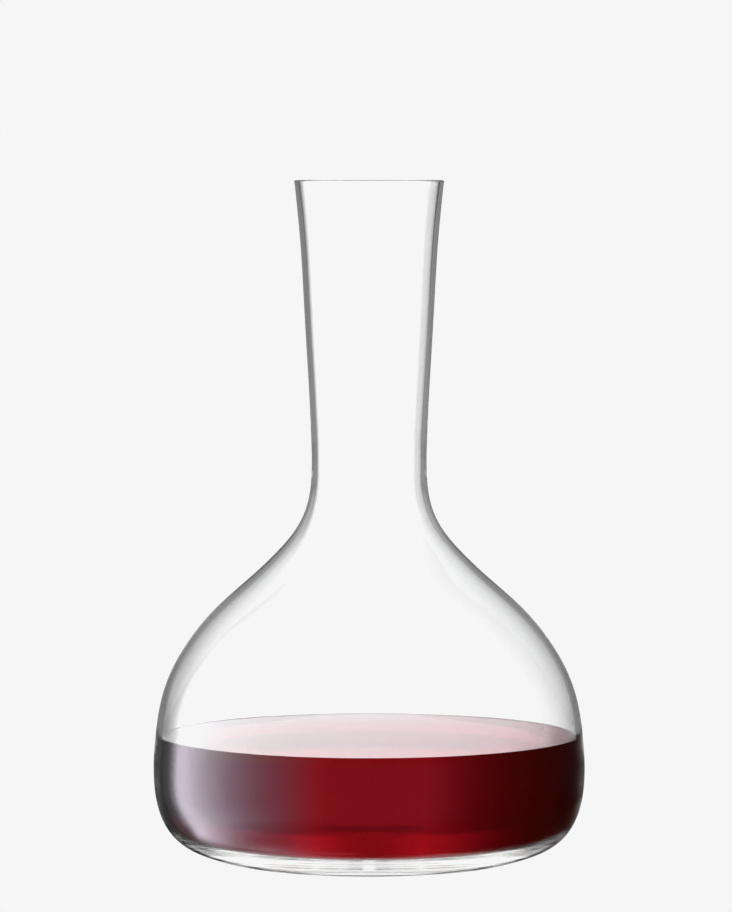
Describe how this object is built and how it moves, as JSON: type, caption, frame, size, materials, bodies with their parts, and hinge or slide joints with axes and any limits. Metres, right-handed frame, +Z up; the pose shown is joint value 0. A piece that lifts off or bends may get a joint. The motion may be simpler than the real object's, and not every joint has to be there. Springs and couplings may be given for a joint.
{
  "type": "wine decanter",
  "caption": "Clear blown-glass decanter with a broad low bowl, a rounded shoulder and a tall flared neck, holding red wine.",
  "frame": {"origin": "centre of the standing ring, on the plane the decanter stands on", "axes": "+Z up along the decanter's axis of revolution; X and Y are arbitrary, because the shape is round"},
  "size_m": [0.1632, 0.1632, 0.256],
  "materials": {
    "clear_glass": "polished",
    "red_wine": "gloss"
  },
  "bodies": {
    "root": {"decanter_glass": "clear_glass", "wine": "red_wine"}
  },
  "joints": []
}
